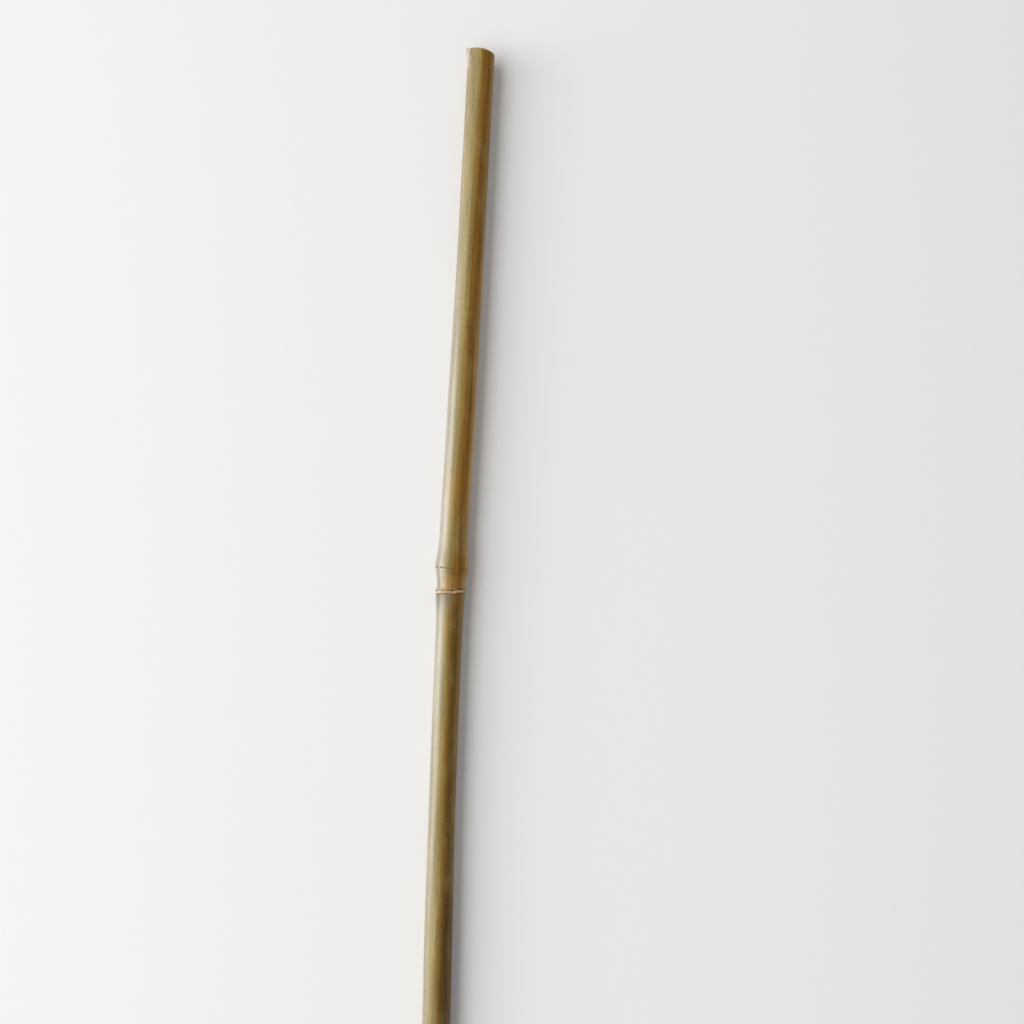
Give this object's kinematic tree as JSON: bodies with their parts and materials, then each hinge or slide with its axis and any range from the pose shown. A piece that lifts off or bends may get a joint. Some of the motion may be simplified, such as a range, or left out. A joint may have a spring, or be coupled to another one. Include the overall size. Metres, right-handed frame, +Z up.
{
  "type": "bamboo cane",
  "caption": "Slim bamboo cane with swollen nodes, sheath-scar lips and trimmed branch stubs, sawn off at both ends and lying on its side.",
  "frame": {"origin": "centre of the bounding box's underside, on the surface that the cane lies on", "axes": "+Z up; the stem lies along Y with its thin end towards +Y"},
  "size_m": [0.0188, 0.6002, 0.0152],
  "materials": {
    "rind": "satin",
    "cut_wood": "matte",
    "sheath_fibre": "matte"
  },
  "bodies": {
    "root": {"cane": "rind"}
  },
  "joints": []
}
